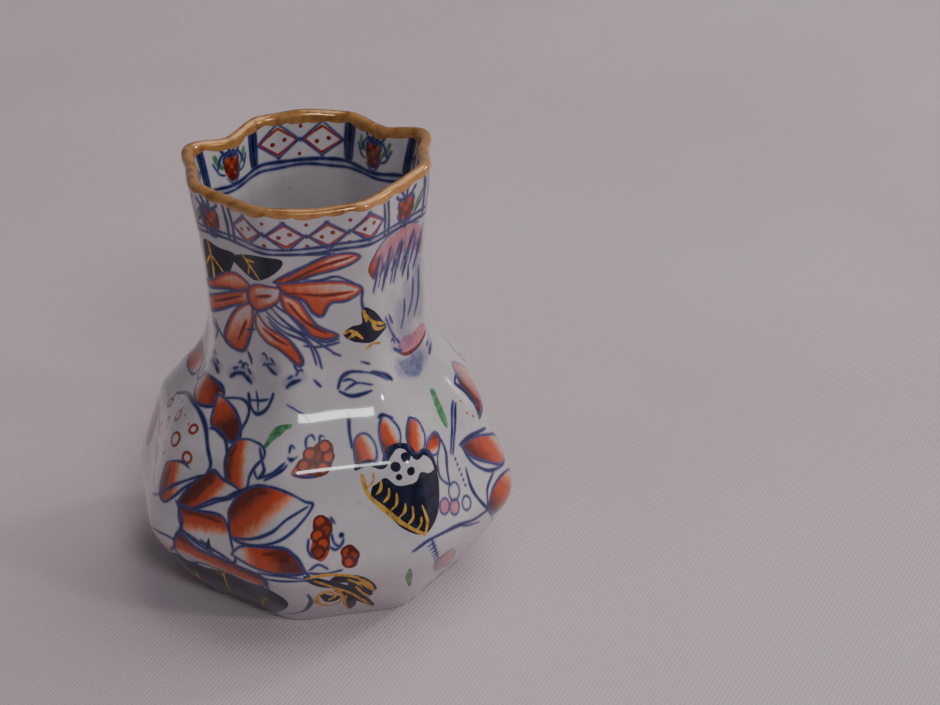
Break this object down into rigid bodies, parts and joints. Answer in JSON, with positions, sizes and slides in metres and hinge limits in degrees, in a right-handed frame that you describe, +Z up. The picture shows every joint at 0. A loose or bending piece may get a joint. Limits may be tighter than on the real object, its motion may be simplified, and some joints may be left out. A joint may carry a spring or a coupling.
{
  "type": "porcelain cream jug",
  "caption": "Small octagonal porcelain cream jug with a wide low belly, straight neck, waved rim with a shallow pouring lip, and a loop handle at the back.",
  "frame": {"origin": "middle of the foot, on the surface that the jug stands on", "axes": "+Z up, -Y towards the front facet and its pouring lip, +Y towards the handle, +X to the right seen from the front"},
  "size_m": [0.085, 0.085, 0.103],
  "materials": {
    "glazed_porcelain": "glossy clear glaze over cobalt, iron red, green and gold painting",
    "handle_porcelain": "glossy clear glaze with a painted spine",
    "bare_biscuit": "thin glaze over the unpainted underside"
  },
  "bodies": {
    "root": {"body_left_half": "glazed_porcelain", "body_right_half": "glazed_porcelain", "base_disc": "bare_biscuit", "handle": "handle_porcelain"}
  },
  "joints": []
}
